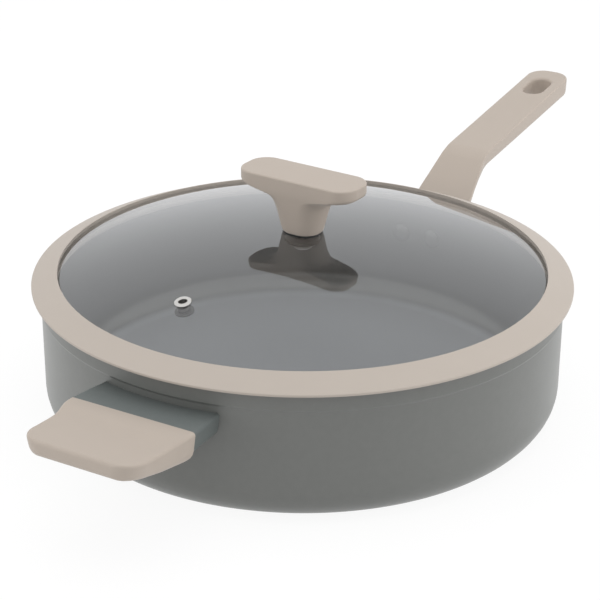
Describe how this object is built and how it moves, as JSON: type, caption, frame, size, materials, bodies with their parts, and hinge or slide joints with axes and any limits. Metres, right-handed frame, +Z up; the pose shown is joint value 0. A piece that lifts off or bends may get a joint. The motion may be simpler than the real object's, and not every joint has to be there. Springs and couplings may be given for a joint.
{
  "type": "saute pan with lid",
  "caption": "Deep straight-sided grey saute pan with a long handle, a helper handle and a domed glass lid with a silicone rim and a T-shaped knob.",
  "frame": {"origin": "centre of the flat underside of the pan", "axes": "+Z up, +X out along the long handle, the helper handle points along -X"},
  "size_m": [0.5452, 0.2898, 0.1304],
  "materials": {
    "coated_body": "satin stoneware-grey coating, smooth, same colour inside and out",
    "induction_steel": "turned stainless steel",
    "coated_rivet": "satin grey coating over the rivet heads",
    "bracket_paint": "satin blue-grey paint on die-cast metal",
    "soft_grip": "soft-touch taupe plastic, very fine grain",
    "fixing_steel": "plain bright steel",
    "lid_glass": "clear tempered glass",
    "rim_silicone": "matt taupe silicone",
    "vent_steel": "polished stainless steel",
    "dark_seal": "dark grey silicone washer",
    "insert_brass": "plain turned brass"
  },
  "bodies": {
    "pan": {"pan_body": "coated_body", "base_disc": "induction_steel", "handle_bracket": "bracket_paint", "handle_rivets": "coated_rivet", "handle_grip": "soft_grip", "handle_screw": "fixing_steel", "helper_bracket": "bracket_paint", "helper_rivets": "coated_rivet", "helper_grip": "soft_grip", "helper_screws": "fixing_steel"},
    "lid": {"lid_glass": "lid_glass", "lid_rim": "rim_silicone", "vent_eyelet": "vent_steel", "vent_washer": "dark_seal", "knob": "soft_grip", "knob_insert": "insert_brass", "knob_gasket": "dark_seal", "glass_gasket": "dark_seal", "knob_washer": "fixing_steel", "knob_screw": "fixing_steel"}
  },
  "joints": [
    {"name": "lid_lift", "type": "slide", "parent": "pan", "child": "lid", "axis": [0, 0, 1], "range_m": [0, 0.15]}
  ]
}
